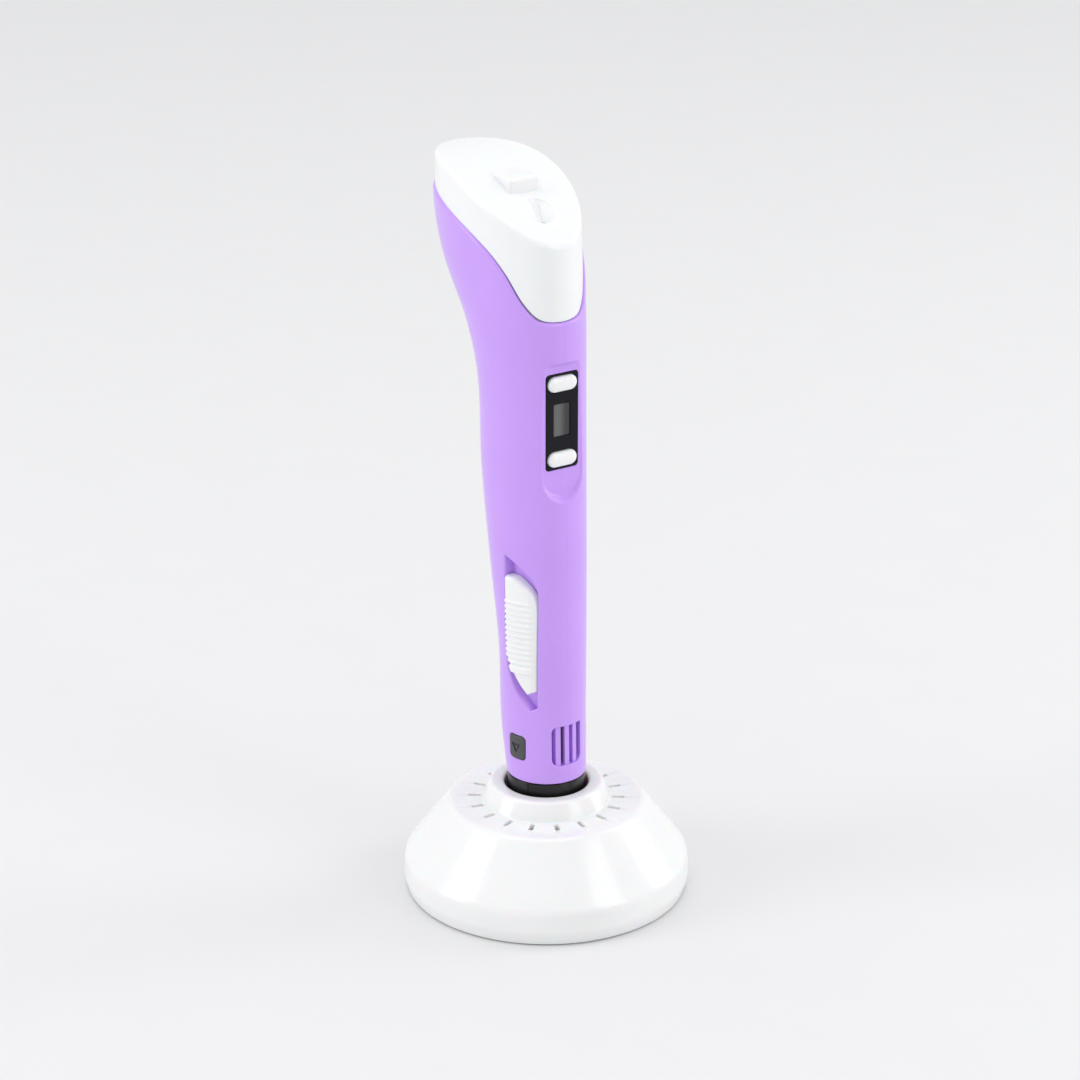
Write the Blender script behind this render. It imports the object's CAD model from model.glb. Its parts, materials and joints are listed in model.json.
# %% [markdown]
# # A filament drawing pen in its round stand
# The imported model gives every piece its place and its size. This lesson gives the pieces that
# show a fine surface and a finish. Each surface is a formula on a grid of two parameters, worked
# out in millimetres with numpy and turned into metres only when the mesh is made.

# %% Load the frame
import json
import bpy
import numpy as np
from math import radians, pi
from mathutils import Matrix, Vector


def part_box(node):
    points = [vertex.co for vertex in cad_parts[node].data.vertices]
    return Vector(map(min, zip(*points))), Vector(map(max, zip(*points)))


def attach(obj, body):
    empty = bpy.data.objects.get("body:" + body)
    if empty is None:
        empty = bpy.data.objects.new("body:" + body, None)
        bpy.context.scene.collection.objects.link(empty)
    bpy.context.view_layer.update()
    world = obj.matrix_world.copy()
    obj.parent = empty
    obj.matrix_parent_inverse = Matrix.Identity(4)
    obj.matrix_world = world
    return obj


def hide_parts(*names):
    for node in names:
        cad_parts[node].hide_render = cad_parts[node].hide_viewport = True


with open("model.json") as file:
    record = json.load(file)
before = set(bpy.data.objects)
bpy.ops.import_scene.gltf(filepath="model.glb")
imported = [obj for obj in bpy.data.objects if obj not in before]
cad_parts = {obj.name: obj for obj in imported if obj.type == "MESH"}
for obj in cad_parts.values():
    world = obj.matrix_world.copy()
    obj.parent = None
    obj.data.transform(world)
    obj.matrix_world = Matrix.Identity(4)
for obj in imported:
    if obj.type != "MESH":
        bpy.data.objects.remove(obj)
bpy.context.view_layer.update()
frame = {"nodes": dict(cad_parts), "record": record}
MM = 0.001


# %%
def cad(node):
    """Lowest and highest corner of a CAD node, in millimetres."""
    low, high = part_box(node)
    return np.array(low) / MM, np.array(high) / MM


def middle(node):
    low, high = cad(node)
    return (low + high) / 2


# %% [markdown]
# ## Camera, floor and light
# A long lens from above the feed-button side keeps the upright lines nearly parallel, as a
# product picture does. The floor is one pale sheet that runs out of view on every side.

# %% Camera
CAMERA_PLACE = (-0.4413, -0.6637, 0.4140)
CAMERA_TILT = 21.67          # degrees below the horizon
CAMERA_TURN = 33.5           # degrees from +Y towards +X
CAMERA_LENS = 111.74         # on a 36 mm sensor

camera_data = bpy.data.cameras.new("camera")
camera_data.lens = CAMERA_LENS
camera_data.sensor_width = 36
camera_data.clip_end = 20
camera = bpy.data.objects.new("camera", camera_data)
camera.location = CAMERA_PLACE
camera.rotation_euler = (radians(90 - CAMERA_TILT), 0, radians(-CAMERA_TURN))
bpy.context.scene.collection.objects.link(camera)
bpy.context.scene.camera = camera
print("camera at", CAMERA_PLACE)


# %% Light
def soft_light(name, place, aim, size, watts):
    """A rectangular area light at place that faces aim."""
    data = bpy.data.lights.new(name, "AREA")
    data.shape = "RECTANGLE"
    data.size, data.size_y = size
    data.energy = watts
    lamp = bpy.data.objects.new(name, data)
    lamp.location = place
    lamp.rotation_euler = (Vector(aim) - Vector(place)).to_track_quat("-Z", "Y").to_euler()
    bpy.context.scene.collection.objects.link(lamp)
    return lamp


AIM = (0, 0, 0.1)
soft_light("top_softbox", (-0.3, 0.3, 2.6), AIM, (2.4, 2.4), 15.0)
soft_light("left_softbox", (-1.25, 0.5, 0.6), AIM, (0.6, 1.2), 5.6)
soft_light("right_softbox", (1.2, -0.35, 0.6), AIM, (0.5, 1.2), 3.9)
soft_light("front_softbox", (0.5, -1.25, 0.72), AIM, (0.55, 0.9), 3.0)

world = bpy.data.worlds.new("studio")
world.use_nodes = True
world.node_tree.nodes["Background"].inputs["Color"].default_value = (0.93, 0.935, 0.945, 1)
world.node_tree.nodes["Background"].inputs["Strength"].default_value = 0.84
bpy.context.scene.world = world
bpy.context.scene.view_settings.view_transform = "Standard"


# %% [markdown]
# ## Finishes
# Moulded plastic is never one flat colour. Every finish below has a slow drift in its colour, a
# fine uneven gloss and a very small bump, all read from Object coordinates, which are metres
# here, so one pattern size holds for every piece.

# %%
def finish(name, color, roughness, drift=0.02, gloss_drift=0.05, grain=900.0, bump=0.02,
           metallic=0.0, coat=0.0, subsurface=0.0, specular=0.5):
    """A moulded or machined surface. Noise at two scales drifts the colour and the gloss."""
    material = bpy.data.materials.new(name)
    material.use_nodes = True
    nodes, links = material.node_tree.nodes, material.node_tree.links
    shader = nodes["Principled BSDF"]
    shader.inputs["Metallic"].default_value = metallic
    shader.inputs["Coat Weight"].default_value = coat
    shader.inputs["Coat Roughness"].default_value = 0.08
    shader.inputs["Subsurface Weight"].default_value = subsurface
    shader.inputs["Subsurface Scale"].default_value = 0.002
    shader.inputs["Specular IOR Level"].default_value = specular
    place = nodes.new("ShaderNodeTexCoord")

    slow = nodes.new("ShaderNodeTexNoise")
    slow.inputs["Scale"].default_value = 45.0
    slow.inputs["Detail"].default_value = 3.0
    links.new(place.outputs["Object"], slow.inputs["Vector"])
    fine = nodes.new("ShaderNodeTexNoise")
    fine.inputs["Scale"].default_value = grain
    fine.inputs["Detail"].default_value = 4.0
    links.new(place.outputs["Object"], fine.inputs["Vector"])

    tone = nodes.new("ShaderNodeValToRGB")
    low = [channel * (1 - drift) for channel in color]
    high = [min(channel * (1 + drift), 1.0) for channel in color]
    tone.color_ramp.elements[0].position = 0.3
    tone.color_ramp.elements[0].color = (*low, 1)
    tone.color_ramp.elements[1].position = 0.7
    tone.color_ramp.elements[1].color = (*high, 1)
    links.new(slow.outputs["Fac"], tone.inputs["Fac"])
    links.new(tone.outputs["Color"], shader.inputs["Base Color"])

    gloss = nodes.new("ShaderNodeMapRange")
    gloss.inputs["To Min"].default_value = max(roughness - gloss_drift, 0.02)
    gloss.inputs["To Max"].default_value = roughness + gloss_drift
    links.new(fine.outputs["Fac"], gloss.inputs["Value"])
    links.new(gloss.outputs["Result"], shader.inputs["Roughness"])

    relief = nodes.new("ShaderNodeBump")
    relief.inputs["Strength"].default_value = bump
    relief.inputs["Distance"].default_value = 0.0002
    links.new(fine.outputs["Fac"], relief.inputs["Height"])
    links.new(relief.outputs["Normal"], shader.inputs["Normal"])
    return material


WHITE = finish("white_gloss_plastic", (0.87, 0.88, 0.885), 0.24, drift=0.012, bump=0.03, coat=0.25,
               subsurface=0.2)
STAND_WHITE = finish("stand_white_plastic", (0.855, 0.86, 0.86), 0.19, drift=0.012, bump=0.02,
                     coat=0.3, subsurface=0.3)
LILAC = finish("lilac_satin_plastic", (0.565, 0.32, 0.90), 0.38, drift=0.02, grain=2600.0, bump=0.08,
               coat=0.4, subsurface=0.08)
BLACK = finish("black_gloss_sleeve", (0.004, 0.004, 0.004), 0.13, drift=0.2, bump=0.03, specular=0.42)
PANEL = finish("panel_black_plastic", (0.004, 0.004, 0.008), 0.3, drift=0.15, bump=0.04, specular=0.18)
SCREEN = finish("screen_grey_glass", (0.1, 0.1, 0.1), 0.12, bump=0.0, specular=0.35)
BUTTON = finish("button_grey_plastic", (0.062, 0.062, 0.068), 0.45, drift=0.06, grain=2200.0, bump=0.12)
RUBBER = finish("foot_rubber", (0.03, 0.03, 0.03), 0.8, drift=0.15, bump=0.3)
NYLON = finish("natural_nylon", (0.72, 0.69, 0.6), 0.5, drift=0.04, bump=0.05, subsurface=0.1)
TUBING = finish("milky_tubing", (0.8, 0.8, 0.78), 0.35, drift=0.02, subsurface=0.2)
CERAMIC = finish("white_ceramic", (0.8, 0.78, 0.72), 0.55, drift=0.04, bump=0.15)
STEEL = finish("machined_steel", (0.55, 0.56, 0.57), 0.32, drift=0.05, gloss_drift=0.1, metallic=1.0)
BRASS = finish("machined_brass", (0.7, 0.5, 0.22), 0.3, drift=0.06, gloss_drift=0.1, metallic=1.0)
BOARD = finish("green_circuit_board", (0.012, 0.13, 0.045), 0.4, drift=0.25, grain=500.0, coat=0.3)
FLOOR = finish("pale_floor", (0.765, 0.765, 0.768), 0.7, drift=0.004, bump=0.0, specular=0.2)


def shade_screen():
    """The unlit screen is lighter towards -X: a ramp on Object X in place of the slow noise."""
    nodes, links = SCREEN.node_tree.nodes, SCREEN.node_tree.links
    place = nodes["Texture Coordinate"]
    split = nodes.new("ShaderNodeSeparateXYZ")
    links.new(place.outputs["Object"], split.inputs["Vector"])
    across = nodes.new("ShaderNodeMapRange")
    across.inputs["From Min"].default_value = -0.0024
    across.inputs["From Max"].default_value = 0.0024
    links.new(split.outputs["X"], across.inputs["Value"])
    ramp = nodes["Color Ramp"]
    ramp.color_ramp.elements[0].position = 0.35
    ramp.color_ramp.elements[0].color = (0.125, 0.13, 0.125, 1)
    ramp.color_ramp.elements[1].position = 0.75
    ramp.color_ramp.elements[1].color = (0.04, 0.04, 0.045, 1)
    links.new(across.outputs["Result"], ramp.inputs["Fac"])


shade_screen()
bpy.ops.mesh.primitive_plane_add(size=8, location=(0, 0, 0))
floor = bpy.context.object
floor.name = "floor"
floor.data.materials.append(FLOOR)
print("finishes", len(bpy.data.materials))

# %% [markdown]
# ## From a grid to a mesh
# Each piece is an array of points with rows and columns. Neighbouring points make the faces, a
# row that shrinks to a point is closed by a fan, and the helper below puts the arrays into the
# mesh at once and sorts out which way the faces look.

# %%
def quads(rows, columns, wrap_rows=False, wrap_columns=False, start=0):
    """Faces of a grid of rows by columns, with its edges joined where it wraps."""
    r = np.arange(rows if wrap_rows else rows - 1)
    c = np.arange(columns if wrap_columns else columns - 1)
    r, c = np.meshgrid(r, c, indexing="ij")
    r2, c2 = (r + 1) % rows, (c + 1) % columns
    corners = [r * columns + c, r * columns + c2, r2 * columns + c2, r2 * columns + c]
    return np.stack([k.ravel() for k in corners], 1) + start


def fan(ring, centre):
    """Triangles from a closed ring of point numbers to one centre point."""
    return np.stack([ring, np.roll(ring, -1), np.full(len(ring), centre)], 1)


def signed_volume(points, faces):
    """Six times the volume that the faces enclose: negative when they look inwards."""
    total = 0.0
    for group in faces:
        a = points[group[:, 0]]
        for k in range(1, group.shape[1] - 1):
            b, c = points[group[:, k]], points[group[:, k + 1]]
            total += np.einsum("ij,ij->", a, np.cross(b, c))
    return total


def mesh_from(name, points, faces):
    """A mesh object in metres from points in millimetres and a list of face arrays."""
    points = np.asarray(points, float)
    if signed_volume(points, faces) < 0:
        faces = [group[:, ::-1] for group in faces]
    mesh = bpy.data.meshes.new(name)
    corner_total = sum(group.size for group in faces)
    face_total = sum(len(group) for group in faces)
    mesh.vertices.add(len(points))
    mesh.vertices.foreach_set("co", (points * MM).ravel())
    mesh.loops.add(corner_total)
    mesh.loops.foreach_set("vertex_index", np.concatenate([g.ravel() for g in faces]).astype(np.int32))
    sizes = np.concatenate([np.full(len(g), g.shape[1]) for g in faces])
    mesh.polygons.add(face_total)
    mesh.polygons.foreach_set("loop_start", np.concatenate([[0], np.cumsum(sizes)[:-1]]).astype(np.int32))
    mesh.update(calc_edges=True)
    mesh.validate()
    piece = bpy.data.objects.new(name, mesh)
    bpy.context.scene.collection.objects.link(piece)
    smooth(piece)
    return piece


SHARP_ANGLE = 35.0           # degrees


def smooth(piece):
    """Smooth shading, broken at edges sharper than SHARP_ANGLE."""
    piece.data.polygons.foreach_set("use_smooth", np.ones(len(piece.data.polygons), bool))
    piece.data.set_sharp_from_angle(angle=radians(SHARP_ANGLE))


def carve(piece, tools, how="DIFFERENCE"):
    """Cuts or joins closed tools, which are removed afterwards."""
    for tool in tools:
        step = piece.modifiers.new("carve", "BOOLEAN")
        step.operation = how
        step.solver = "MANIFOLD"
        step.object = tool
        bpy.context.view_layer.update()
        view = bpy.context.evaluated_depsgraph_get()
        cut = bpy.data.meshes.new_from_object(piece.evaluated_get(view))
        piece.modifiers.clear()
        old, piece.data = piece.data, cut
        bpy.data.meshes.remove(old)
        bpy.data.objects.remove(tool)
    smooth(piece)
    return piece


def settle(piece, body, replaced, material):
    """Gives a finished piece its finish, its body and the CAD nodes that it stands for."""
    piece.data.materials.clear()
    piece.data.materials.append(material)
    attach(piece, body)
    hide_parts(*replaced)
    print(piece.name, "faces", len(piece.data.polygons), "rides on", body)
    return piece


# %% [markdown]
# ## The body's form
# The pen is a stack of ovals. Ten stations give the oval's front reach, rear reach and half
# width, and a cubic through the stations gives every oval between them. The shells, the cap, the
# slider and the buttons all follow this one form, so they meet without fitting.

# %%
SHELL_LOW = cad("left_shell")[0][2]
TOP = cad("tail_cap")[1][2]
SHELL_LENGTH = TOP - SHELL_LOW
STATIONS = np.array([
    [0.00, 10.5, 10.4, 10.4],
    [0.09, 10.2, 13.0, 10.85],
    [0.22, 9.85, 13.5, 11.25],
    [0.36, 9.4, 17.0, 12.1],
    [0.52, 8.9, 20.7, 12.8],
    [0.66, 8.4, 21.8, 13.1],
    [0.75, 8.0, 26.7, 14.1],
    [0.84, 7.7, 37.5, 15.3],
    [0.91, 7.5, 42.2, 15.5],
    [1.02, 7.2, 43.4, 15.3],
])


def cubic(at, value, place):
    """Hermite cubic through (at, value); each slope is taken across a point's neighbours."""
    place = np.clip(place, at[0], at[-1])
    before = np.r_[0, 0:len(at) - 1]
    after = np.r_[1:len(at), len(at) - 1]
    slope = (value[after] - value[before]) / (at[after] - at[before])
    i = np.clip(np.searchsorted(at, place, side="right") - 1, 0, len(at) - 2)
    span = at[i + 1] - at[i]
    t = (place - at[i]) / span
    return ((2 * t**3 - 3 * t**2 + 1) * value[i] + (t**3 - 2 * t**2 + t) * span * slope[i]
            + (3 * t**2 - 2 * t**3) * value[i + 1] + (t**3 - t**2) * span * slope[i + 1])


def along(column, z):
    """One column of the stations at height z."""
    return cubic(STATIONS[:, 0], STATIONS[:, column], (np.asarray(z, float) - SHELL_LOW) / SHELL_LENGTH)


def section(z, inset=0.0):
    """Centre, half depth and half width of the oval at height z, drawn in by inset."""
    front, rear = along(1, z), along(2, z)
    return (rear - front) / 2, (rear + front) / 2 - inset, along(3, z) - inset


def body_point(turn, z, inset=0.0):
    """A point of the form: turn runs from the front (-Y) towards +X."""
    centre, depth, width = section(z, inset)
    turn, z = np.broadcast_arrays(turn, z)
    return np.stack([width * np.sin(turn), centre - depth * np.cos(turn), z + 0.0 * turn], -1)


def side_x(y, z):
    """Distance of the side wall from the middle plane at (y, z)."""
    centre, depth, width = section(z)
    return width * np.sqrt(np.clip(1 - ((y - centre) / depth) ** 2, 0, 1))


def front_y(x, z):
    """Place of the front wall at (x, z)."""
    centre, depth, width = section(z)
    return centre - depth * np.sqrt(np.clip(1 - (x / width) ** 2, 0, 1))


FACE_ARCH = 60.0
FACE_APEX = 37.5
SEAM_Y = np.array([-14, -6.4, -3.2, 1, 5.8, 13.3, 22.9, 34, 52])
SEAM_DROP = np.array([36.6, 35.3, 31.2, 24, 19, 14.7, 11.3, 8.9, 7.2])


def face_z(y):
    """Height of the cap's slanted top, a shallow parabola."""
    return TOP - (y - FACE_APEX) ** 2 / (2 * FACE_ARCH)


def seam_z(y):
    """Height of the seam between cap and shells, a cubic through nine points."""
    return cubic(SEAM_Y, TOP - SEAM_DROP, y)


def meet(turn, surface, inset=0.0):
    """Height at which the form's side meets a surface z = f(y), found by repeated halving."""
    low = np.full(np.shape(turn), SHELL_LOW + 60.0)
    high = np.full(np.shape(turn), TOP + 3.0)
    for _ in range(40):
        half = (low + high) / 2
        below = half < surface(body_point(turn, half, inset)[..., 1])
        low, high = np.where(below, half, low), np.where(below, high, half)
    return (low + high) / 2


print("body from", round(SHELL_LOW, 2), "to", round(TOP, 2))


# %% [markdown]
# ## Cutting tools
# Recesses and openings are cut by closed tools. A tool is an outline carried through a few
# levels: each level has its own depth and spreads the outline a little, so the last levels flare
# into a rolled edge. A depth is counted from the body's own surface, so the rolled edge follows
# the oval all the way round an opening.

# %%
FLOOR_SHARES = (0.1, 0.3, 0.5, 0.7, 0.85, 1.0)     # rings spread over a tool's floor


def outline_normals(outline):
    """Outward unit normals of a closed outline that runs anticlockwise."""
    step = np.roll(outline, -1, 0) - np.roll(outline, 1, 0)
    normal = np.stack([step[:, 1], -step[:, 0]], 1)
    return normal / np.linalg.norm(normal, axis=1)[:, None]


def levels_to_mesh(name, rings):
    """Closes a stack of equal rings with a fan at each end."""
    count, size = len(rings), len(rings[0])
    points = np.concatenate(list(rings) + [rings[0].mean(0)[None], rings[-1].mean(0)[None]])
    first = np.arange(size)
    last = first + (count - 1) * size
    faces = [quads(count, size, wrap_columns=True), fan(first[::-1], count * size),
             fan(last, count * size + 1)]
    return mesh_from(name, points, faces)


def rolled_edge(radius, steps=5):
    """Depth and spread of a rolled edge: a quarter circle from the wall out to the surface."""
    a = np.linspace(0, pi / 2, steps)
    return [(radius * (1 - np.sin(k)), radius * (1 - np.cos(k))) for k in a]


def tool_levels(outline, floor, edge):
    """Outlines and depths of a tool: rings spread over its floor, its wall, and its rolled edge."""
    centre = outline.mean(0)
    normal = outline_normals(outline)
    levels = [(centre + (outline - centre) * share, floor) for share in FLOOR_SHARES]
    for depth, spread in rolled_edge(edge) + [(-1.5, edge)]:
        levels.append((outline + normal * spread, depth))
    return levels


def side_ring(at, side, depth):
    """A ring from (y, z) points, at a depth below the side wall; side is -1 or +1."""
    return np.stack([side * (side_x(at[:, 0], at[:, 1]) - depth), at[:, 0], at[:, 1]], 1)


def front_ring(at, depth):
    """A ring from (x, z) points, at a depth below the front wall."""
    return np.stack([at[:, 0], front_y(at[:, 0], at[:, 1]) + depth, at[:, 1]], 1)


def flat_ring(at, y):
    """A ring from (x, z) points on an upright plane."""
    return np.stack([at[:, 0], np.full(len(at), float(y)), at[:, 1]], 1)


def side_tool(name, outline, side, floor, edge):
    """A tool that enters the side wall."""
    levels = tool_levels(outline, floor, edge)
    return levels_to_mesh(name, [side_ring(at, side, depth) for at, depth in levels])


def front_tool(name, outline, floor, edge):
    """A tool that enters the front wall."""
    levels = tool_levels(outline, floor, edge)
    return levels_to_mesh(name, [front_ring(at, depth) for at, depth in levels])


def rounded_rectangle(u, v, width, height, corner, steps=8):
    """A closed outline with quarter-circle corners, anticlockwise from the upper right."""
    a = np.linspace(0, pi / 2, steps)
    parts = []
    for k, (su, sv) in enumerate([(1, 1), (-1, 1), (-1, -1), (1, -1)]):
        radius = np.broadcast_to(corner, 4)[k]
        turn = a + k * pi / 2
        centre = np.array([u + su * (width / 2 - radius), v + sv * (height / 2 - radius)])
        parts.append(centre + radius * np.stack([np.cos(turn), np.sin(turn)], 1))
    return np.concatenate(parts)


def refine(outline, spacing):
    """The same closed outline with points no further apart than spacing."""
    closed = np.vstack([outline, outline[:1]])
    lengths = np.linalg.norm(np.diff(closed, axis=0), axis=1)
    pieces = []
    for k, length in enumerate(lengths):
        count = max(1, int(np.ceil(length / spacing)))
        t = np.arange(count)[:, None] / count
        pieces.append(closed[k] * (1 - t) + closed[k + 1] * t)
    return np.concatenate(pieces)


# %% [markdown]
# ## Stand
# The stand is one turned moulding: a rounded foot band, a cone, a flat deck and a raised collar
# round the hole. Its profile is a closed loop carried round the axis. The slots are narrow
# rounded tools set out in a ring on the deck.

# %%
SLOT_COUNT = 18
SLOT_PHASE = -25.2           # degrees
SLOT_RING = 18.9             # radius of the slots' middles
stand_low, stand_high = cad("stand_shell")
STAND_RADIUS = stand_high[0]
COLLAR_TOP = stand_high[2]
FOOT = stand_low[2]
WALL = 2.2
DECK = COLLAR_TOP - 5.05


def arc(centre, radius, start, end, steps=8):
    """Points of a circular arc, its angles in degrees."""
    a = np.radians(np.linspace(start, end, steps))
    return np.stack([centre[0] + radius * np.cos(a), centre[1] + radius * np.sin(a)], 1)


def turned(name, profile, sides=180, axis="z", place=(0, 0, 0), loop=True):
    """A (radius, reach) profile carried round an axis. A loop closes on itself; an open profile
    is closed by a fan at each end, which lies on the axis."""
    turn = np.linspace(0, 2 * pi, sides, endpoint=False)
    radius, reach = profile[:, 0][:, None], profile[:, 1][:, None] + 0 * turn
    u, v = radius * np.sin(turn), -radius * np.cos(turn)
    order = {"z": (u, v, reach), "y": (u, reach, v), "x": (reach, u, v)}[axis]
    points = np.stack(order, -1) + np.array(place, float)
    if not loop:
        return levels_to_mesh(name, points)
    faces = [quads(len(profile), sides, wrap_rows=True, wrap_columns=True)]
    return mesh_from(name, points.reshape(-1, 3), faces)


def fillet_path(corners, steps=6):
    """Rounds each corner (radius, z, fillet) of a closed profile with a true arc."""
    corners = np.array(corners, float)
    path = []
    for k in range(len(corners)):
        here, r = corners[k, :2], corners[k, 2]
        a = corners[k - 1, :2] - here
        b = corners[(k + 1) % len(corners), :2] - here
        if r == 0:
            path.append(here[None])
            continue
        la, lb = np.linalg.norm(a), np.linalg.norm(b)
        a, b = a / la, b / lb
        half = np.arccos(np.clip(a @ b, -1, 1)) / 2
        reach = min(r / np.tan(half), 0.48 * la, 0.48 * lb)
        r = reach * np.tan(half)
        bisector = (a + b) / np.linalg.norm(a + b)
        centre = here + bisector * r / np.sin(half)
        start, end = here + a * reach - centre, here + b * reach - centre
        t = np.linspace(0, 1, steps)[:, None]
        angle = np.arccos(np.clip(start @ end / r**2, -1, 1))
        path.append(centre + (np.sin((1 - t) * angle) * start + np.sin(t * angle) * end) / np.sin(angle))
    return np.concatenate(path)


def stand_profile():
    """The stand's wall: outside from foot to collar, down the hole, and back under the cone."""
    hole = cad("nose_sleeve")[1][0] + 0.55
    return fillet_path([
        (STAND_RADIUS - 0.9, FOOT, 0.5),
        (STAND_RADIUS, FOOT + 3.4, 5.0),
        (STAND_RADIUS - 0.35, FOOT + 9.0, 4.5),
        (STAND_RADIUS - 12.1, DECK, 2.2),
        (STAND_RADIUS - 21.0, DECK, 0.9),
        (STAND_RADIUS - 22.9, COLLAR_TOP, 1.3),
        (hole, COLLAR_TOP, 1.0),
        (hole, DECK - WALL, 0.3),
        (STAND_RADIUS - 13.2, DECK - WALL, 1.0),
        (STAND_RADIUS - WALL - 0.3, FOOT + 8.0, 3.0),
        (STAND_RADIUS - WALL - 0.4, FOOT, 0.4),
    ], 8)


def about_axis(x, y, turn):
    """Points turned about the upright axis."""
    return x * np.cos(turn) - y * np.sin(turn), x * np.sin(turn) + y * np.cos(turn)


def slot_tool(i):
    """A narrow round-ended slot through the deck, flared at its upper edge."""
    outline = rounded_rectangle(0, -SLOT_RING, 1.25, 3.4, 0.5, 5)
    normal = outline_normals(outline)
    turn = radians(SLOT_PHASE + i * 360 / SLOT_COUNT)
    rings = []
    for rise, spread in ((-WALL - 1, 0), (-0.15, 0), (-0.04, 0.06), (0.02, 0.16), (1, 0.2)):
        at = outline + normal * spread
        x, y = about_axis(at[:, 0], at[:, 1], turn)
        rings.append(np.stack([x, y, np.full(len(at), DECK + rise)], 1))
    return levels_to_mesh(f"slot_{i}", rings)


stand = carve(turned("stand_moulding", stand_profile()), [slot_tool(i) for i in range(SLOT_COUNT)])
settle(stand, "stand", ["stand_shell"], STAND_WHITE)

# %% [markdown]
# ## Nose sleeve
# A glossy heat-resistant cone carries the hot end. Only its upper band shows above the collar,
# with the fine parting line and the ejector mark that its mould leaves.

# %%
nose_low, nose_high = cad("nose_sleeve")
NOSE_RADIUS = nose_high[0]
NOSE_TOP = SHELL_LOW - 0.3
NOSE_TIP = 4.7               # radius
CONE_HEIGHT = 13.5


def nose_profile():
    """Outside from the tip up the cone and the band, over the spigot and down the bore."""
    z = np.linspace(nose_low[2], nose_low[2] + CONE_HEIGHT, 16)
    share = (z - z[0]) / CONE_HEIGHT
    radius = NOSE_TIP + (NOSE_RADIUS - NOSE_TIP) * (0.75 * share + 0.25 * np.sin(share * pi / 2))
    cone = np.stack([radius, z], 1)
    band = fillet_path([
        (NOSE_RADIUS, NOSE_TOP, 0.25), (8.4, NOSE_TOP, 0), (8.4, nose_high[2], 0.2),
        (7.0, nose_high[2], 0.2), (7.0, z[-1] - 1.5, 0), (3.6, z[0] + 5.5, 0), (3.6, z[0], 0),
    ], 5)
    return np.concatenate([cone, band])


nose = turned("nose_moulding", nose_profile(), 160)


def band_tool(name, outline, depth, degrees):
    """A shallow mark in the band: an outline in (width, height), turned about the axis."""
    rings = []
    for reach in (NOSE_RADIUS - depth, NOSE_RADIUS + 1):
        x, y = about_axis(outline[:, 0], np.full(len(outline), -reach), radians(degrees))
        rings.append(np.stack([x, y, outline[:, 1]], 1))
    return levels_to_mesh(name, rings)


parting_line = rounded_rectangle(0, NOSE_TOP - 3.4, 0.3, 7.6, 0.1, 3)
ejector_mark = rounded_rectangle(0, NOSE_TOP - 1.1, 0.8, 0.8, 0.39, 6)
carve(nose, [band_tool("nose_line", parting_line, 0.25, -61), band_tool("nose_mark", ejector_mark, 0.15, 0)])
settle(nose, "pen", ["nose_sleeve"], BLACK)

# %% [markdown]
# ## Shells
# The body is two lilac mouldings that meet on the middle plane. They could be drawn as two open
# sheets with a thickness, but their openings have rolled edges of their own, so here the whole
# body is first one closed solid, its hollow is taken out, each opening is cut with a shaped tool,
# and the parting gap divides it in two at the end.

# %% Closed solids on the body's form
SHELL_WALL = 1.6
PARTING = 0.009              # half the gap between the two shells
LIP = 0.9                    # radius of the rolled lip under the cap
FOOT_ROLL = 0.3              # radius of the rolled lower edge


def turns(columns):
    """Angles round the form; none falls on the parting plane."""
    return (np.arange(columns) + 0.5) * 2 * pi / columns


def form_rings(turn, rows):
    """Rings on the form from rows (height, inset)."""
    return [body_point(turn, z + 0 * turn, inset + 0 * turn) for z, inset in rows]


def closed_form(name, turn, rows):
    """A closed solid from rows (height, inset) on the form, with a fan at each end."""
    return levels_to_mesh(name, form_rings(turn, rows))


def roll_rise(turn, top, radius):
    """Height of a rolled edge along a slanting seam: its radius over the cosine of the slant."""
    ring = body_point(turn, top)
    step = np.roll(ring, -1, 0) - np.roll(ring, 1, 0)
    slant = step[:, 2] / np.hypot(step[:, 0], step[:, 1])
    return radius * np.sqrt(1 + slant**2)


def gate(value, low, high, soft):
    """1 between low and high, 0 outside, with a smooth ramp of the given length."""
    def ramp(t):
        t = np.clip(t, 0, 1)
        return t * t * (3 - 2 * t)
    return ramp((value - low) / soft) * ramp((high - value) / soft)


bezel_middle = middle("display_bezel")
slider_middle = middle("speed_slider")
button_middle = middle("feed_button")
SLIDER_Z = slider_middle[2]
BEZEL_Z = bezel_middle[2]
VENT_Z = SHELL_LOW + 10.4


def shell_wall(turn, z):
    """Wall thickness: it grows behind the display recess and behind the slider's pocket."""
    turned_left = np.mod(2 * pi - turn, 2 * pi)
    front = np.minimum(turn, 2 * pi - turn)
    panel = gate(-front, -1.0, 1.0, 0.25) * gate(z, BEZEL_Z - 27, BEZEL_Z + 20, 3)
    pocket = gate(turned_left, 0.35, 1.85, 0.2) * gate(z, SLIDER_Z - 25, SLIDER_Z + 25, 3)
    vent = gate(-front, -0.75, 1.0, 0.2) * gate(z, VENT_Z - 8, VENT_Z + 8, 1.5)
    return SHELL_WALL + 1.35 * panel + 1.9 * pocket + 1.8 * vent


# %%
turn = turns(330)
seam_top = meet(turn, seam_z)
rise = roll_rise(turn, seam_top, LIP)
a_low = np.linspace(pi / 2, 0, 5)
a_top = np.linspace(0, pi / 2, 9)[1:]
side_low = SHELL_LOW + FOOT_ROLL
rows = [(SHELL_LOW, 3.0)]
rows += [(SHELL_LOW + FOOT_ROLL * (1 - np.sin(a)), FOOT_ROLL * (1 - np.cos(a))) for a in a_low]
rows += [(side_low + share * (seam_top - rise - side_low), 0.0) for share in np.linspace(0, 1, 200)[1:]]
rows += [(seam_top - rise * (1 - np.sin(a)), LIP * (1 - np.cos(a))) for a in a_top]
rows += [(seam_top, 3.0)]
body = closed_form("pen_body", turn, rows)

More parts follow.
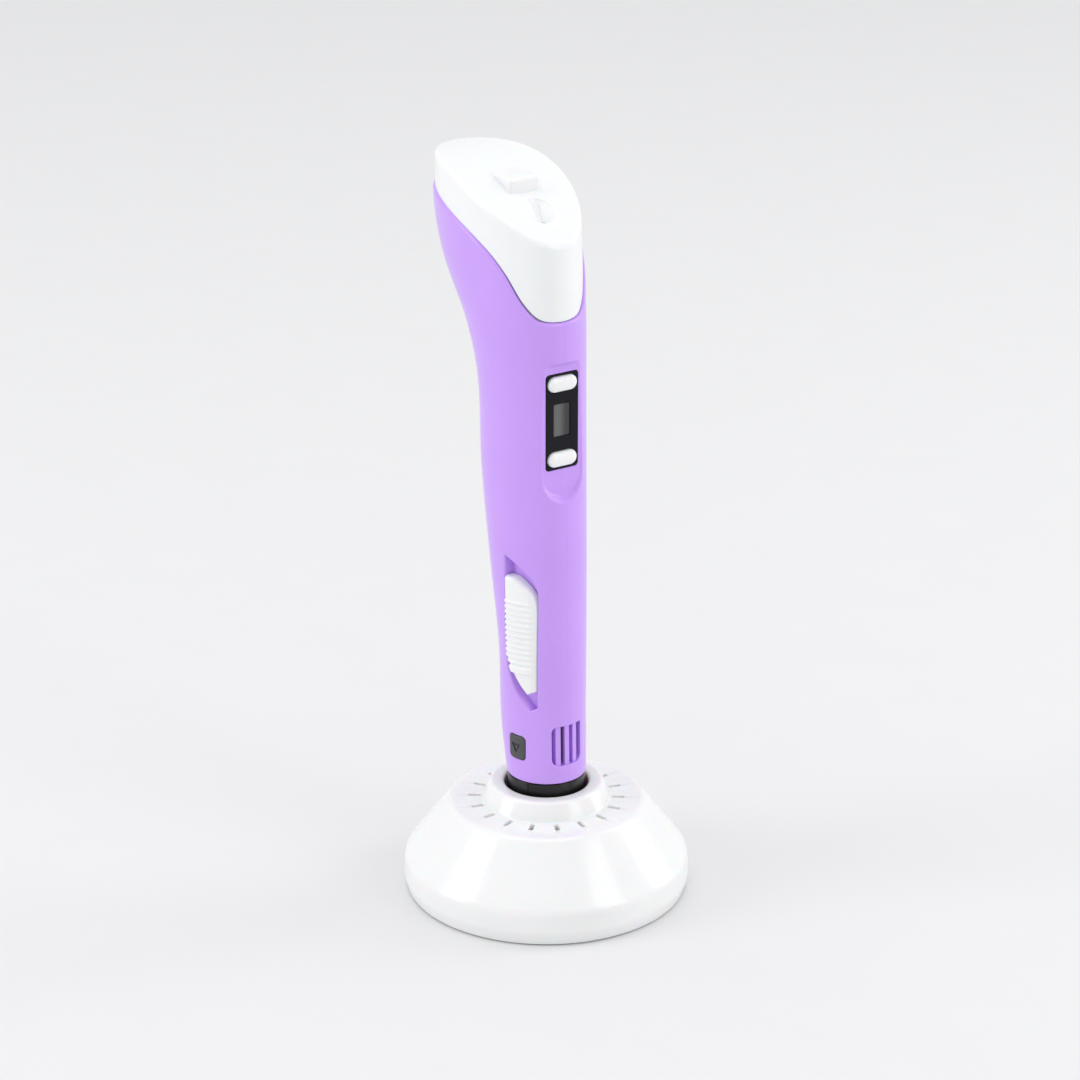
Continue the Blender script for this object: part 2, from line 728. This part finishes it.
turn = turns(180)
hollow_top = meet(turn, seam_z) + 4
hollow_rows = []
for share in np.linspace(0, 1, 130):
    z = SHELL_LOW - 2 + share * (hollow_top - SHELL_LOW + 2)
    hollow_rows.append((z, shell_wall(turn, z)))
carve(body, [closed_form("hollow", turn, hollow_rows)])
print("body faces", len(body.data.polygons))

# %% [markdown]
# ## Openings in the shells
# The display sits in a long scooped recess. Its tool has a flat floor, and its bank rises in an
# S-curve that meets the oval without an edge, which is what a moulded scoop looks like.

# %% Display recess
RECESS_FLOOR = cad("display_bezel")[0][1] + 0.1
RECESS_HALF_WIDTH = 5.6
RECESS_ABOVE = 14.5
RECESS_BELOW = 19.4
BEZEL_FAR = -14.0            # reach of the display's cutting tools


def recess_outline():
    """A rounded top edge and a round foot, anticlockwise in (x, z) seen from the front."""
    w, foot = RECESS_HALF_WIDTH, RECESS_HALF_WIDTH
    top = BEZEL_Z + RECESS_ABOVE
    low = BEZEL_Z - RECESS_BELOW + foot
    corner = 2.0
    right = arc((w - corner, top - corner), corner, 0, 90, 8)
    left = arc((-w + corner, top - corner), corner, 90, 180, 8)
    base = arc((0, low), w, 180, 360, 40)
    return refine(np.concatenate([right, left, base]), 0.6)


def recess_tool():
    """Rings from the flat floor up to the surface: the bank is short above, long at the foot."""
    outline = recess_outline()
    normal = outline_normals(outline)
    up = np.clip(normal[:, 1], -1, 1)
    reach = np.where(up > 0, 0.8 + 0.5 * up, 0.8 - 1.4 * up)
    rings = []
    for t in np.linspace(0, 1, 14):
        at = outline + normal * (reach * t)[:, None]
        surface = front_y(at[:, 0], at[:, 1]) - 0.04          # a little proud, for a clean cut
        ease = t * t * (3 - 2 * t)
        rings.append(np.stack([at[:, 0], RECESS_FLOOR + (surface - RECESS_FLOOR) * ease, at[:, 1]], 1))
    front = rings[-1].copy()
    front[:, 1] = BEZEL_FAR
    rings.append(front)
    return levels_to_mesh("recess_tool", rings)


def prism(name, outline, low, high, axis="y", edge=0.0):
    """An outline carried along an axis; edge rolls its rim at the low end inwards."""
    normal = outline_normals(outline)
    levels = [(high, 0.0)] + ([] if edge else [(low, 0.0)])
    if edge:
        levels += [(low + depth, -spread) for depth, spread in rolled_edge(edge, 6)]
    rings = []
    for reach, spread in levels:
        at = outline + normal * spread
        level = np.full(len(at), float(reach))
        order = (at[:, 0], level, at[:, 1]) if axis == "y" else (level, at[:, 0], at[:, 1])
        rings.append(np.stack(order, 1))
    return levels_to_mesh(name, rings)


bezel_low, bezel_high = cad("display_bezel")
BEZEL_SIZE = (bezel_high[0] - bezel_low[0], bezel_high[2] - bezel_low[2])
bezel_outline = rounded_rectangle(0, BEZEL_Z, *BEZEL_SIZE, 1.0)
bezel_hole = rounded_rectangle(0, BEZEL_Z, BEZEL_SIZE[0] + 0.16, BEZEL_SIZE[1] + 0.16, 1.05)
carve(body, [recess_tool(), prism("bezel_hole", bezel_hole, BEZEL_FAR, -4.2)])

# %% [markdown]
# The slider runs in a leaf-shaped pocket on the side, pointed at the rear above and at the front
# below. The same two edge curves draw the pocket and the slider, a little smaller and shorter.

# %% Slider pocket
WINDOW_FRONT = slider_middle[1] - 4.55
WINDOW_REAR = WINDOW_FRONT + 8.2
WINDOW_HALF = 20.9
SHOULDER = 10.5
POCKET_DEPTH = 2.7
TOE = 1.4                    # blunt lower tip


def bend(start, control, end, steps=24):
    """A quadratic curve through start and end, pulled towards control."""
    t = np.linspace(0, 1, steps)[:, None]
    start, control, end = (np.array(p, float) for p in (start, control, end))
    return (1 - t) ** 2 * start + 2 * t * (1 - t) * control + t**2 * end


def leaf_curves(side_inset, end_inset):
    """The sloping upper front edge and the sloping lower rear edge, in (y, z)."""
    front, rear = WINDOW_FRONT + side_inset, WINDOW_REAR - side_inset
    high, low = SLIDER_Z + WINDOW_HALF - end_inset, SLIDER_Z - WINDOW_HALF + end_inset
    width = rear - front
    upper = bend((rear, high), (front, high - SHOULDER * 0.28), (front, high - SHOULDER))
    lower = bend((front + TOE, low), (rear - width * 0.3, low + SHOULDER * 0.45), (rear, low + SHOULDER))
    return upper, lower


def leaf_outline(side_inset, end_inset):
    upper, lower = leaf_curves(side_inset, end_inset)
    corner = [[upper[-1, 0], lower[0, 1] + 1]]
    return refine(np.concatenate([upper, corner, lower]), 0.5)


stem_slot = rounded_rectangle(slider_middle[1] + 2.4, SLIDER_Z, 3.4, 12.0, 1.2)
carve(body, [
    side_tool("slider_pocket", leaf_outline(0, 0), -1, POCKET_DEPTH, 0.5),
    side_tool("stem_slot", stem_slot, -1, 7.0, 0.05),
])

# %% [markdown]
# Each side button has a through hole with a slight roll. The vent is a shallow panel with four
# upright slots, and the jack and the screws have round holes with a bevelled rim.

# %% Buttons, vent, jack and screws
BUTTON_Y, BUTTON_Z = -1.65, button_middle[2]
BUTTON_SIZE = (5.1, 6.6)
BUTTON_GAP = 0.24            # over both sides
hole_size = np.array(BUTTON_SIZE) + BUTTON_GAP
button_hole = refine(rounded_rectangle(BUTTON_Y, BUTTON_Z, *hole_size, 1.2), 0.5)

VENT_SIZE = (8.8, 11.2)
VENT_CORNER = 2.2            # of the two lower corners
VENT_TOP_CORNERS = (0.5, 1.5)
SLOT_WIDTH = 1.2
SLOT_DEPTH, THROUGH = 2.9, 6.0
THROUGH_SLOT = 1             # the one slot that opens into the shell
slot_places = np.linspace(-1, 1, 4) * (VENT_SIZE[0] - SLOT_WIDTH) / 2
vent_corners = (*VENT_TOP_CORNERS, VENT_CORNER, VENT_CORNER)
vent_outline = refine(rounded_rectangle(0, VENT_Z, *VENT_SIZE, vent_corners), 0.5)


def vent_slot(x):
    """An upright slot from the panel's top edge down to its rounded lower edge."""
    across = np.linspace(x - SLOT_WIDTH / 2, x + SLOT_WIDTH / 2, 9)
    past = np.clip(np.abs(across) - (VENT_SIZE[0] / 2 - VENT_CORNER), 0, VENT_CORNER - 0.02)
    low = VENT_Z - VENT_SIZE[1] / 2 + VENT_CORNER - np.sqrt(VENT_CORNER**2 - past**2)
    corner = VENT_TOP_CORNERS[1]
    past = np.clip(-across - (VENT_SIZE[0] / 2 - corner), 0, corner - 0.02)
    high = VENT_Z + VENT_SIZE[1] / 2 - 0.05 - corner + np.sqrt(corner**2 - past**2)
    lower, upper = np.stack([across, low], 1), np.stack([across, high], 1)
    return refine(np.concatenate([lower, upper[::-1]]), 0.6)


def relief_tool(name, outline, start, end):
    """A closed tool inside the front wall, between two depths below the body's surface."""
    rings = []
    for depth in (end, start):
        for share in FLOOR_SHARES if depth == end else FLOOR_SHARES[::-1]:
            rings.append(front_ring(outline.mean(0) + (outline - outline.mean(0)) * share, depth))
    return levels_to_mesh(name, rings)


relief = refine(rounded_rectangle(slot_places[THROUGH_SLOT], VENT_Z, 2.6, VENT_SIZE[1] - 0.6, 0.4), 0.5)
vent_tools = [front_tool("vent_panel", vent_outline, 0.6, 0.22),
              relief_tool("vent_relief", relief, 1.5, THROUGH)]
for i, x in enumerate(slot_places):
    depth = THROUGH if i == THROUGH_SLOT else SLOT_DEPTH
    vent_tools.append(front_tool(f"vent_slot_{i}", vent_slot(x), depth, 0.05))

jack_low, jack_high = cad("power_jack")
JACK_Z = (jack_low[2] + jack_high[2]) / 2
JACK_FACE = jack_high[1]
JACK_RADIUS = jack_high[0]
JACK_GAP = 0.1
jack_hole = np.array([(JACK_RADIUS + JACK_GAP, JACK_FACE - 6), (JACK_RADIUS + JACK_GAP, JACK_FACE + 0.2),
                      (JACK_RADIUS + 1.6, JACK_FACE + 4)])

SCREWS = [middle(f"shell_screw_{i}") for i in (1, 2, 3)]
SCREW_HEADS = [cad(f"shell_screw_{i}")[1][0] for i in (1, 2, 3)]
SCREW_RADIUS = (cad("shell_screw_1")[1][1] - cad("shell_screw_1")[0][1]) / 2
POST_RADIUS = SCREW_RADIUS + 1.2
HEAD_HOLE = SCREW_RADIUS + 0.12
SHANK_HOLE = 1.15
screw_posts, screw_holes = [], []


def body_core(inset):
    """The body's form below the seam, drawn in by inset, to trim what stands inside it."""
    around = turns(180)
    top = meet(around, seam_z) - 1
    rows = [(SHELL_LOW + share * (top - SHELL_LOW), inset) for share in np.linspace(0.01, 1, 80)]
    return closed_form("core", around, rows)


for i, (screw, head) in enumerate(zip(SCREWS, SCREW_HEADS)):
    place = (0, screw[1], screw[2])
    wall = side_x(screw[1], screw[2])
    post = np.array([(POST_RADIUS, head - 3.4), (POST_RADIUS + 0.3, wall - 0.8)])
    hole = np.array([(SHANK_HOLE, head - 5), (SHANK_HOLE, head - 1.75), (HEAD_HOLE, head - 1.7),
                     (HEAD_HOLE, wall - 0.2), (SCREW_RADIUS + 0.5, wall + 0.6),
                     (SCREW_RADIUS + 0.5, wall + 2)])
    post = turned(f"post_{i}", post, 40, "x", place, loop=False)
    screw_posts.append(carve(post, [body_core(0.5)], "INTERSECT"))
    screw_holes.append(turned(f"hole_{i}", hole, 40, "x", place, loop=False))

carve(body, [side_tool(name, button_hole, side, 4.2, 0.25)
             for name, side in (("feed_hole", -1), ("retract_hole", 1))])
carve(body, vent_tools + [turned("jack_hole", jack_hole, 60, "y", (0, 0, JACK_Z), loop=False)])
carve(body, screw_posts, "UNION")
carve(body, screw_holes)
print("body faces", len(body.data.polygons))

# %% Divide at the parting plane
def block_tool(name, low, high):
    """A plain closed block between two corners, for cutting only."""
    (x0, y0, z0), (x1, y1, z1) = low, high
    outline = np.array([(x0, y0), (x1, y0), (x1, y1), (x0, y1)], float)
    rings = [np.column_stack([outline, np.full(4, z)]) for z in (z0, z1)]
    return levels_to_mesh(name, rings)


for name, side, node in (("right_moulding", 1, "right_shell"), ("left_moulding", -1, "left_shell")):
    half = body.copy()
    half.data = body.data.copy()
    half.name = name
    bpy.context.scene.collection.objects.link(half)
    edges = sorted((side * PARTING, side * 60))
    tool = block_tool("half_space", (edges[0], -60, 0), (edges[1], 90, 260))
    carve(half, [tool], "INTERSECT")
    settle(half, "pen", [node], LILAC)
bpy.data.objects.remove(body)

# %% [markdown]
# ## Tail cap
# The white cap closes the top. Its slanted face is a shallow arch, its rim is a rolled edge, and
# a skirt reaches down inside the shells. The same rows-on-the-form solid makes it, with the face
# drawn as rings that shrink to a pole. A wedge-shaped tab stands on the face.

# %%
CAP_INSET = 0.6
CAP_WALL = 1.55
RIM_ROLL = 0.9               # radius of the rolled rim of the face
FOOT_EDGE = 0.12             # radius of the rolled edge on the seam
SKIRT_INSET, SKIRT_LENGTH = 1.85, 5
turn = turns(300)
cap_foot = meet(turn, seam_z, CAP_INSET)
cap_foot -= roll_rise(turn, cap_foot, LIP) * (1 - np.sqrt(1 - (1 - CAP_INSET / LIP) ** 2)) - 0.02
foot_rise = roll_rise(turn, cap_foot, FOOT_EDGE)
rim_top = meet(turn, face_z, CAP_INSET)
side_low = cap_foot + foot_rise
skirt_foot = cap_foot - SKIRT_LENGTH
rows = [(skirt_foot, 4.0), (skirt_foot, SKIRT_INSET), (cap_foot + 0.02, SKIRT_INSET)]
rows += [(cap_foot + foot_rise * (1 - np.sin(a)), CAP_INSET + FOOT_EDGE * (1 - np.cos(a)))
         for a in np.linspace(pi / 2, 0, 5)]
rows += [(side_low + share * (rim_top - RIM_ROLL - side_low), CAP_INSET)
         for share in np.linspace(0, 1, 34)[1:]]
rings = form_rings(turn, rows)
for a in np.linspace(0, pi / 2, 9)[1:]:
    inset = CAP_INSET + RIM_ROLL * (1 - np.cos(a))
    ring = body_point(turn, rim_top - 0.2, inset)
    ring[:, 2] = face_z(ring[:, 1]) - RIM_ROLL * (1 - np.sin(a))
    rings.append(ring)
FACE_POLE = np.array([0.0, 17.0])


def face_rings(rim, count, below=0.0):
    """Rings parallel to the slanted face, from a rim in to the face's pole."""
    rings = []
    for share in np.linspace(1, 0, count)[1:-1]:
        flat = FACE_POLE + (rim[:, :2] - FACE_POLE) * share
        rings.append(np.column_stack([flat, face_z(flat[:, 1]) - below]))
    return rings


cap = levels_to_mesh("tail_cap_moulding", rings + face_rings(rings[-1], 42))

TAB_WIDTH, TAB_FRONT, TAB_RISE, TAB_LENGTH = 9.2, 9.6, 3.7, 14
tab_top = face_z(TAB_FRONT) + TAB_RISE
tab_outline = rounded_rectangle(0, TAB_FRONT + TAB_LENGTH / 2, TAB_WIDTH, TAB_LENGTH, 0.9)


def upright(name, outline, low, high, roll):
    """An outline in (x, y) carried up, with a rolled upper edge."""
    normal = outline_normals(outline)
    levels = [(low, 0.0)] + [(high - depth, -spread) for depth, spread in rolled_edge(roll, 7)]
    rings = []
    for z, spread in levels:
        at = outline + normal * spread
        rings.append(np.column_stack([at, np.full(len(at), z)]))
    return levels_to_mesh(name, rings)


carve(cap, [upright("tab", tab_outline, tab_top - TAB_RISE - 1, tab_top, 0.8)], "UNION")

turn = turns(160)
hollow_foot = meet(turn, seam_z, CAP_WALL) - 6
hollow_face = meet(turn, lambda y: face_z(y) - CAP_WALL, CAP_WALL + CAP_INSET)
hollow_side = hollow_foot + 8.2
hollow_rows = [(hollow_foot, 3.0), (hollow_foot + 7.3, 3.0), (hollow_side, CAP_WALL + CAP_INSET)]
hollow_rows += [(hollow_side + share * (hollow_face - hollow_side), CAP_WALL + CAP_INSET)
                for share in (0.25, 0.5, 0.75, 1)]
hollow_rings = form_rings(turn, hollow_rows)
hollow_rings += face_rings(hollow_rings[-1], 16, CAP_WALL)
carve(cap, [levels_to_mesh("cap_hollow", hollow_rings)])

# %% [markdown]
# The filament goes in through a funnel in the face. Its throat is near the low front edge, so the
# wall behind is long and the wall in front is short, and two creases run down to the throat. Each
# ring of the tool is a mix of the throat's circle and the mouth's, which lies on the slanted face.

# %% Filament inlet
INLET_Y = 3.5
INLET_RADIUS = 3.9
BORE = 1.15
THROAT_Y = 1.9
THROAT_DEPTH = 2.3
MOUTH_EDGE = 0.3             # radius of the rolled edge
CREASE, CREASE_TURN = 0.4, 0.62
circle_turn = turns(90)
circle = np.stack([np.sin(circle_turn), -np.cos(circle_turn)], 1)
THROAT_Z = face_z(THROAT_Y) - THROAT_DEPTH
GUIDE_Z = cad("filament_guide_tube")[1][2]


def face_ring(radius, below):
    """A ring parallel to the slanted face."""
    at = circle * radius + (0, INLET_Y)
    return np.column_stack([at, face_z(at[:, 1]) - below])


def level_ring(radius, z, y):
    """A level ring round the bore."""
    at = circle * radius + (0, y)
    return np.column_stack([at, np.full(len(at), float(z))])


throat = level_ring(BORE, THROAT_Z, THROAT_Y)
mouth = face_ring(INLET_RADIUS, MOUTH_EDGE)
behind = np.abs(np.mod(circle_turn, 2 * pi) - pi)
groove = gate(-behind, -CREASE_TURN, 1.0, 0.1)
funnel = []
for share in np.linspace(0, 1, 9)[1:]:
    ring = throat + (mouth - throat) * share
    ring[:, 2] -= CREASE * np.sin(share * pi) ** 0.7 * groove
    funnel.append(ring)
edge = [face_ring(INLET_RADIUS + spread, depth) for depth, spread in rolled_edge(MOUTH_EDGE)[1:]]
boss = [level_ring(2.6, GUIDE_Z + 0.3, INLET_Y), level_ring(3.4, THROAT_Z - 2, THROAT_Y + 0.6),
        face_ring(INLET_RADIUS + 1.1, 1.0)]
carve(cap, [levels_to_mesh("inlet_boss", boss)], "UNION")
bore = [level_ring(BORE, GUIDE_Z - 1, INLET_Y - 0.1), throat]
outside = [face_ring(INLET_RADIUS + MOUTH_EDGE, -2)]
carve(cap, [levels_to_mesh("inlet", bore + funnel + edge + outside)])
settle(cap, "pen", ["tail_cap"], WHITE)

# %% [markdown]
# ## Display group
# A thin black bezel frames two rocker-like keys and a small grey screen.

# %%
BEZEL_FACE = bezel_low[1]
bezel = prism("bezel_panel", bezel_outline, BEZEL_FACE, bezel_high[1], edge=0.3)
window_low, window_high = cad("display_window")
SCREEN_MIDDLE = (window_low[2] + window_high[2]) / 2
SCREEN_SIZE = (window_high[0] - window_low[0], window_high[2] - window_low[2])
KEY_SIZE = (8.5, 4.0)
KEY_PLACES = {node: middle(node)[2] for node in ("temp_up_button", "temp_down_button")}
PANEL_BACK = -4              # reach of the hole tools behind the bezel


def flared_hole(name, outline, face, back, flare):
    """A through hole whose front edge opens by flare."""
    normal = outline_normals(outline)
    rings = []
    for y, spread in ((back, 0), (face + flare, 0), (face, flare), (face - 2, flare)):
        rings.append(flat_ring(outline + normal * spread, y))
    return levels_to_mesh(name, rings)


opening = rounded_rectangle(0, SCREEN_MIDDLE, SCREEN_SIZE[0] + 0.1, SCREEN_SIZE[1] + 0.1, 0.3)
holes = [flared_hole("screen_hole", opening, BEZEL_FACE, PANEL_BACK, 0.3)]
for z in KEY_PLACES.values():
    stadium = rounded_rectangle(0, z, KEY_SIZE[0] + 0.3, KEY_SIZE[1] + 0.3, KEY_SIZE[1] / 2 + 0.149, 14)
    holes.append(flared_hole("key_hole", stadium, BEZEL_FACE, PANEL_BACK, 0.15))
carve(bezel, holes)
settle(bezel, "pen", ["display_bezel"], PANEL)

screen_outline = rounded_rectangle(0, SCREEN_MIDDLE, *SCREEN_SIZE, 0.3)
screen = prism("screen_glass", screen_outline, window_low[1], window_high[1], edge=0.12)
settle(screen, "pen", ["display_window"], SCREEN)


# %%
KEY_BACK = -5.3


def key_cap(name, z):
    """A stadium key: rings drawn in from its outline, each raised by a flattened dome."""
    half = KEY_SIZE[1] / 2
    proud = BEZEL_FACE - cad("temp_up_button")[0][1]
    outline = rounded_rectangle(0, z, *KEY_SIZE, half - 0.001, 16)
    core = outline.copy()
    reach = (KEY_SIZE[0] - 2 * half) / 2
    core[:, 0] = np.clip(core[:, 0], -reach, reach)
    core[:, 1] = z
    rings = [flat_ring(outline, KEY_BACK)]
    for share in 1 - np.linspace(0, 1, 16) ** 1.7 * 0.97:
        height = proud * (0.55 * (1 - share**8) ** 0.5 + 0.45 * (1 - share**2))
        rings.append(flat_ring(core + (outline - core) * share, BEZEL_FACE - height))
    return levels_to_mesh(name, rings)


for node, z in KEY_PLACES.items():
    settle(key_cap(node + "_cap", z), node, [node], WHITE)

# %% [markdown]
# ## Slider
# The thumb piece is a leaf with cross ribs. It is a height over a two-way grid: one parameter
# runs up the leaf, the other from its front edge to its rear edge and rolls over both sides.

# %%
RIB_PITCH = 1.5
RIBS = SLIDER_Z - 7.6 + RIB_PITCH * np.arange(12)
RIDGE_Z = SLIDER_Z - 9.6
SIDE_GAP, TOP_GAP, FOOT_GAP = 0.3, 4.1, 4.6
BACK_GAP = 0.3
THUMB_TOP = SLIDER_Z + WINDOW_HALF - 5.2
PROUD = 0.7


def bar(z, centre, width, soft):
    """1 on a bar across the leaf and 0 beside it, with a soft shoulder."""
    t = np.clip((width / 2 + soft - np.abs(z - centre)) / soft, 0, 1)
    return t * t * (3 - 2 * t)


def slider_back(y, z):
    """Distance of the thumb piece's underside from the middle plane."""
    return side_x(y, z) - POCKET_DEPTH + BACK_GAP


def slider_mesh():
    """x = -(side wall + proud + ribs) over the leaf, with rolled sides and a curved back."""
    upper = leaf_curves(SIDE_GAP, TOP_GAP)[0]
    lower = leaf_curves(SIDE_GAP, FOOT_GAP)[1]
    low, high = lower[0, 1], THUMB_TOP
    z = np.r_[low + np.linspace(0.02, 1, 12), np.arange(low + 1.1, high - 0.4, 0.1),
              high - 0.35, high - 0.2, high - 0.08][:, None]
    front = np.interp(z, upper[::-1, 1], upper[::-1, 0])
    front = np.where(z < low + 1, upper[-1, 0] + TOE * (low + 1 - z), front)
    rear = np.interp(z, lower[:, 1], lower[:, 0])
    width = rear - front
    roll = np.minimum(0.75, width / 2.05)
    a = np.linspace(0, pi / 2, 7)
    edge_in = np.r_[0, 1 - np.cos(a)][None, :]
    edge_up = np.r_[0, np.sin(a)][None, :]
    across = np.linspace(0, 1, 26)[None, 1:-1]
    y = np.concatenate([front + roll * edge_in, front + roll + (width - 2 * roll) * across,
                        rear - roll * edge_in[:, ::-1]], 1)
    rise = np.concatenate([edge_up + 0 * z, np.ones((len(z), across.shape[1])),
                           edge_up[:, ::-1] + 0 * z], 1)
    ribs = sum(bar(z, c, 0.5, 0.28) for c in RIBS) * 0.36 + bar(z, RIDGE_Z, 1.3, 0.45) * 0.75
    ends = np.clip(np.minimum(z - low, high - z) / 0.8, 0, 1)
    ends = np.sqrt(1 - (1 - ends) ** 2)
    height = PROUD * rise * ends + ribs * rise * np.clip(width / 2, 0, 1) - roll * (1 - rise * ends)
    back = slider_back(y, z)
    x = np.maximum(side_x(y, z) + height, back + 0.05)
    x[:, [0, -1]] = back[:, [0, -1]]
    share = np.linspace(1, 0, 8)[None, 1:-1]
    under = y[:, -1:] * share + y[:, :1] * (1 - share)
    grid = np.concatenate([np.stack([-x, y, z + 0 * y], -1),
                           np.stack([-slider_back(under, z), under, z + 0 * under], -1)], 1)
    return levels_to_mesh("slider_thumb", grid)


settle(slider_mesh(), "speed_slider", ["speed_slider"], WHITE)

# %% [markdown]
# ## Feed and retract buttons
# A charcoal key on each side carries an engraved triangle: down for feed, up for retract.

# %%
def side_key(name, side, point):
    """Rings on the side wall: up from inside, over a rolled edge and in to the middle."""
    outline = refine(rounded_rectangle(BUTTON_Y, BUTTON_Z, *BUTTON_SIZE, 1.1), 0.5)
    normal = outline_normals(outline)
    centre = np.array([BUTTON_Y, BUTTON_Z])
    roll, proud = 0.4, 0.25
    levels = [(3.6, 0.0)] + [(depth - proud, inset) for depth, inset in rolled_edge(roll, 7)]
    rings = [side_ring(outline - normal * inset, side, depth) for depth, inset in levels]
    rim = outline - normal * roll
    for share in np.linspace(1, 0, 12)[1:-1]:
        rings.append(side_ring(centre + (rim - centre) * share, side, -proud))
    key = levels_to_mesh(name, rings)

    def triangle(size, depth, top):
        corners = np.array([(0, 1.0), (-0.95, -0.7), (0.95, -0.7)]) * size
        at = refine(corners * (1, point) + centre, 0.3)[::point]
        return levels_to_mesh("triangle", [side_ring(at, side, depth), side_ring(at, side, top)])

    carve(key, [triangle(1.6, 0.12, -1.0)])
    carve(key, [triangle(0.75, 0.3, -0.12)], "UNION")
    return key


settle(side_key("feed_key", -1, -1), "feed_button", ["feed_button"], BUTTON)
settle(side_key("retract_key", 1, 1), "retract_button", ["retract_button"], BUTTON)

# %% [markdown]
# ## Turned and small pieces
# The jack, the screws, the nozzle and the seat are turned forms, so each is a profile carried
# round its own axis.

# %%
PLUG_HOLE, PLUG_DEPTH = 2.8, 9
PIN_HOLE, PIN_RADIUS = 1.1, 1.0
jack_profile = fillet_path([
    (JACK_RADIUS, jack_low[1], 0), (JACK_RADIUS, JACK_FACE, 0.35), (PLUG_HOLE, JACK_FACE, 0.3),
    (PLUG_HOLE, JACK_FACE - PLUG_DEPTH, 0), (PIN_HOLE, JACK_FACE - PLUG_DEPTH, 0),
    (PIN_HOLE, jack_low[1], 0)], 5)
jack = turned("jack_socket", jack_profile, 72, "y", (0, 0, JACK_Z))
settle(jack, "pen", ["power_jack"], BLACK)
pin_low, pin_high = cad("power_jack_pin")
pin_profile = np.array([(PIN_RADIUS, pin_low[1]), (PIN_RADIUS, pin_high[1] - 0.8),
                        (0.85, pin_high[1] - 0.3), (0.5, pin_high[1])])
pin = turned("jack_pin", pin_profile, 40, "y", (0, 0, JACK_Z), loop=False)
settle(pin, "pen", ["power_jack_pin"], STEEL)

SHANK, HEAD_HEIGHT = 1.0, 1.6
for i, (screw, head) in enumerate(zip(SCREWS, SCREW_HEADS)):
    low = cad(f"shell_screw_{i + 1}")[0][0]
    profile = np.array([(0.3, low), (SHANK, low + 1.2), (SHANK, head - HEAD_HEIGHT),
                        (SCREW_RADIUS, head - HEAD_HEIGHT), (SCREW_RADIUS, head - 0.6),
                        (SCREW_RADIUS * 0.92, head - 0.25), (SCREW_RADIUS * 0.7, head), (0.4, head)])
    place = (0, screw[1], screw[2])
    piece = turned(f"case_screw_{i + 1}", profile, 48, "x", place, loop=False)
    cross = []
    for wide, tall in ((2.0, 0.45), (0.45, 2.0)):
        bar_outline = rounded_rectangle(screw[1], screw[2], wide, tall, 0.1, 3)
        cross.append(prism("cross", bar_outline, head - 0.8, head + 1, "x"))
    carve(piece, cross)
    settle(piece, "pen", [f"shell_screw_{i + 1}"], STEEL)

nozzle_low, nozzle_high = cad("nozzle")
tip = nozzle_low[2]
NOZZLE_RADIUS, COLLAR_RADIUS, NOZZLE_BORE = 2.0, 2.9, 1.1
nozzle_profile = np.array([
    (0.3, tip + 0.5), (0.25, tip), (0.7, tip), (0.82, tip + 0.1), (NOZZLE_RADIUS, tip + 2.6),
    (NOZZLE_RADIUS, tip + 12.5), (COLLAR_RADIUS, tip + 12.5), (COLLAR_RADIUS, nozzle_high[2]),
    (NOZZLE_BORE, nozzle_high[2]), (NOZZLE_BORE, tip + 3.2)])
settle(turned("brass_nozzle", nozzle_profile, 64), "pen", ["nozzle"], BRASS)

# %% [markdown]
# ## Inner pieces
# The gears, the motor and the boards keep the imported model's own shapes, because they are hidden
# in the closed pen. Each one takes the finish of its material slot.

# %%
SLOT_FINISH = {
    "white_gloss": STAND_WHITE, "purple_satin": LILAC, "black_gloss": BLACK, "bezel_black": PANEL,
    "screen_grey": SCREEN, "button_grey": BUTTON, "foot_rubber": RUBBER, "natural_nylon": NYLON,
    "clear_tubing": TUBING, "circuit_board": BOARD, "ceramic": CERAMIC, "steel": STEEL, "brass": BRASS,
}
for row in frame["record"]["subparts"]:
    node = frame["nodes"][row["node"]]
    node.data.materials.clear()
    node.data.materials.append(SLOT_FINISH[row["material_slot"]])
print("inner pieces finished")
